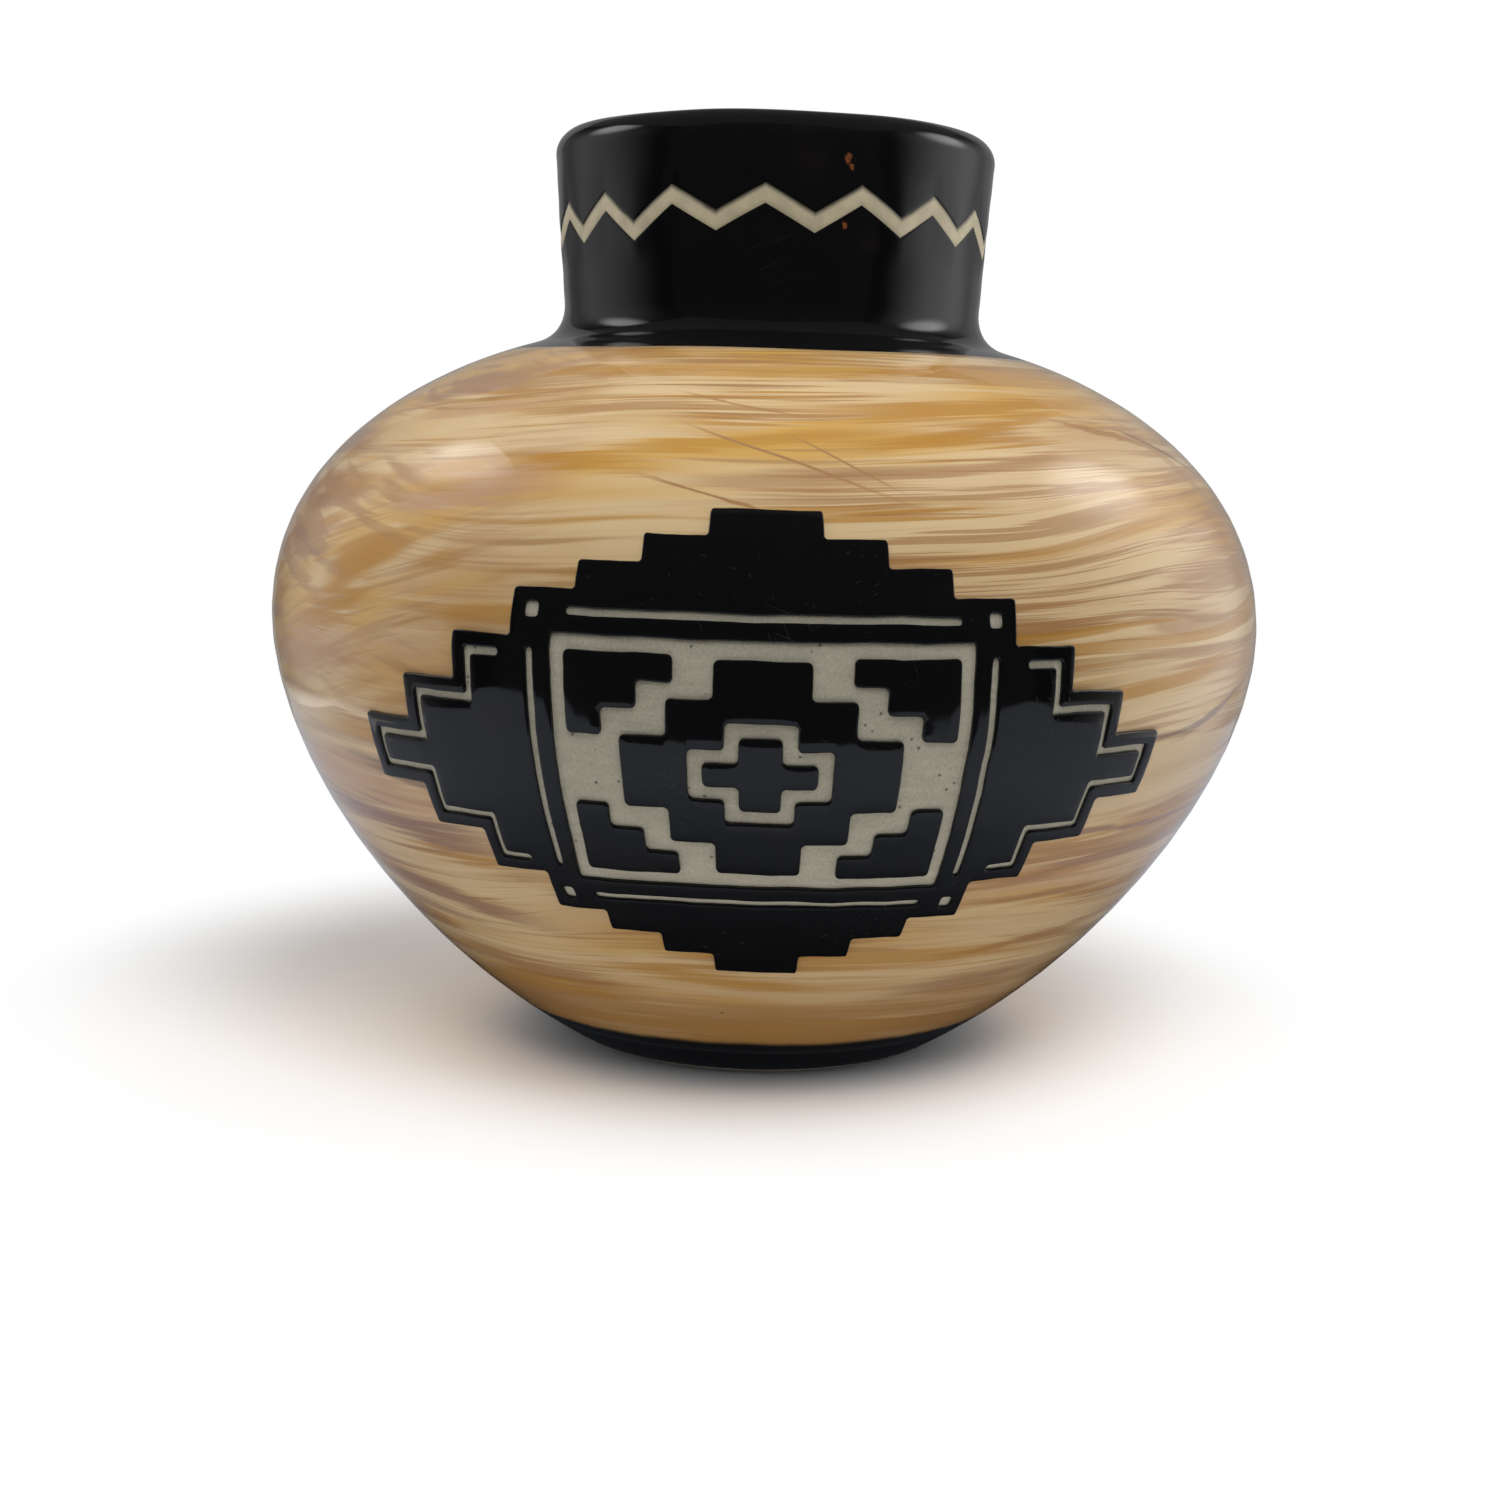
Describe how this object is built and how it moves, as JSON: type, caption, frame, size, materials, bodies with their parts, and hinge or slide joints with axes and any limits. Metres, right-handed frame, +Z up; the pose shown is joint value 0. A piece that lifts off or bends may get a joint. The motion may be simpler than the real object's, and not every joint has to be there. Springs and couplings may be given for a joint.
{
  "type": "pottery vase",
  "caption": "Round-bellied pottery vase with a short collar neck, a zigzag slip line, a stepped raised glaze medallion on the front and a turned foot ring.",
  "frame": {"origin": "on the turning axis, at the level of the foot ring's resting face", "axes": "+Z up along the turning axis, -Y towards the decorated front, +X to the viewer's right"},
  "size_m": [0.16, 0.1611, 0.1466],
  "materials": {
    "body_glaze": "clear gloss glaze over brushed honey, amber and mauve-brown oxide streaks on cream clay",
    "neck_glaze": "glossy black glaze",
    "foot_glaze": "glossy black glaze, bare clay on the resting face",
    "raised_glaze": "thick glossy black glaze with rounded edges, standing proud of the wall",
    "cream_slip": "matte cream slip"
  },
  "bodies": {
    "root": {"foot_ring": "foot_glaze", "lower_bowl": "body_glaze", "shoulder": "body_glaze", "neck_collar": "neck_glaze", "neck_zigzag": "cream_slip", "glaze_field": "raised_glaze", "glaze_diamond": "raised_glaze", "glaze_cross": "raised_glaze", "glaze_corner_top_left": "raised_glaze", "glaze_corner_top_right": "raised_glaze", "glaze_corner_bottom_left": "raised_glaze", "glaze_corner_bottom_right": "raised_glaze"}
  },
  "joints": []
}
